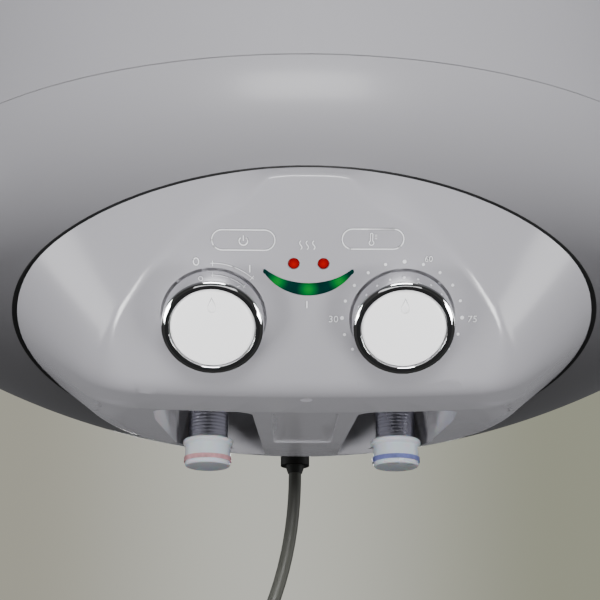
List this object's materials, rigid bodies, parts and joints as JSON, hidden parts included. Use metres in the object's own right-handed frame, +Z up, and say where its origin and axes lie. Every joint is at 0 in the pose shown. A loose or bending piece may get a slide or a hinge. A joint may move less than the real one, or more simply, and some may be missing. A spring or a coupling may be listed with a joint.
{
  "type": "storage water heater",
  "caption": "Vertical wall-hung storage water heater with dished steel body, silver control cover, two turning knobs, lamp windows, capped pipe nipples and a coiled mains cord.",
  "frame": {"origin": "middle of the hanging bracket on the wall face, between its two slots", "axes": "+Z up, -Y out of the wall towards the front of the heater, +X to the right seen from the front"},
  "size_m": [0.45, 0.475, 0.847],
  "materials": {
    "shell_paint": "satin grey enamel",
    "cap_paint": "satin grey enamel",
    "bracket_steel": "zinc plated",
    "black_plastic": "fine grain",
    "cover_silver": "silver pigmented moulding",
    "gasket_rubber": "matt",
    "zinc_steel": "zinc plated",
    "knob_chrome": "bright plated",
    "knob_silver": "pale silver",
    "steel": "machined",
    "lens_red": "moulded red",
    "lens_green": "moulded green",
    "circuit_board": "lacquered",
    "lamp_clear": "moulded clear",
    "tank_enamel": "vitreous enamel",
    "foam": "cut foam",
    "element_copper": "drawn copper",
    "magnesium": "cast",
    "white_plastic": "moulded",
    "cap_natural": "unpigmented",
    "band_red": "printed tape",
    "band_blue": "printed tape",
    "cord_grey": "satin sheath",
    "wire_brown": "satin insulation",
    "gland_black": "matt",
    "pin_brass": "turned"
  },
  "bodies": {
    "heater": {"outer_shell": "shell_paint", "top_cap": "shell_paint", "bottom_cap": "cap_paint", "wall_bracket": "bracket_steel", "wall_spacer": "black_plastic", "control_cover": "cover_silver", "cover_gasket": "gasket_rubber", "cover_strip": "zinc_steel", "cover_screw": "zinc_steel", "power_switch": "black_plastic", "thermostat": "black_plastic", "switch_screws": "zinc_steel", "thermostat_screws": "zinc_steel", "red_lens_left": "lens_red", "red_lens_right": "lens_red", "smile_lens": "lens_green", "lamp_board": "circuit_board", "lamps": "lamp_clear", "board_screws": "zinc_steel", "inner_tank": "tank_enamel", "foam_insulation": "foam", "flange_gasket": "gasket_rubber", "flange_plate": "zinc_steel", "flange_studs": "zinc_steel", "element_left": "element_copper", "element_right": "element_copper", "anode_rod": "magnesium", "thermowell": "element_copper", "thermostat_bulb": "element_copper", "hot_pipe": "steel", "cold_pipe": "steel", "inlet_diffuser": "white_plastic", "thermal_cutout": "black_plastic", "terminal_block": "white_plastic", "supply_lead": "cord_grey", "supply_wires": "wire_brown", "cord_clamp": "black_plastic", "cord_gland": "gland_black", "power_cord": "cord_grey", "power_cord_coil": "cord_grey", "coil_tie": "gland_black", "plug_body": "cord_grey", "plug_pins": "pin_brass"},
    "power_knob": {"power_knob_ring": "knob_chrome", "power_knob_disc": "knob_silver", "power_knob_core": "black_plastic", "power_shaft": "steel"},
    "temp_knob": {"temp_knob_ring": "knob_chrome", "temp_knob_disc": "knob_silver", "temp_knob_core": "black_plastic", "temp_shaft": "steel"},
    "hot_closure": {"hot_cap": "cap_natural", "hot_band": "band_red"},
    "cold_closure": {"cold_cap": "cap_natural", "cold_band": "band_blue"},
    "reset": {"reset_button": "white_plastic"}
  },
  "joints": [
    {"name": "power_knob_turn", "type": "hinge", "parent": "heater", "child": "power_knob", "pos_m": [-0.0385, -0.424, -0.4337], "axis": [0, 0.7071, 0.7071], "range_deg": [0, 45]},
    {"name": "temp_knob_turn", "type": "hinge", "parent": "heater", "child": "temp_knob", "pos_m": [0.0385, -0.424, -0.4337], "axis": [0, 0.7071, 0.7071], "range_deg": [-126, 126]},
    {"name": "hot_cap_pull", "type": "slide", "parent": "heater", "child": "hot_closure", "axis": [0, 0, -1], "range_m": [0, 0.06]},
    {"name": "cold_cap_pull", "type": "slide", "parent": "heater", "child": "cold_closure", "axis": [0, 0, -1], "range_m": [0, 0.06]},
    {"name": "reset_press", "type": "slide", "parent": "heater", "child": "reset", "axis": [0, 0, 1], "range_m": [0, 0.0015], "stiffness_N_per_m": 600}
  ]
}
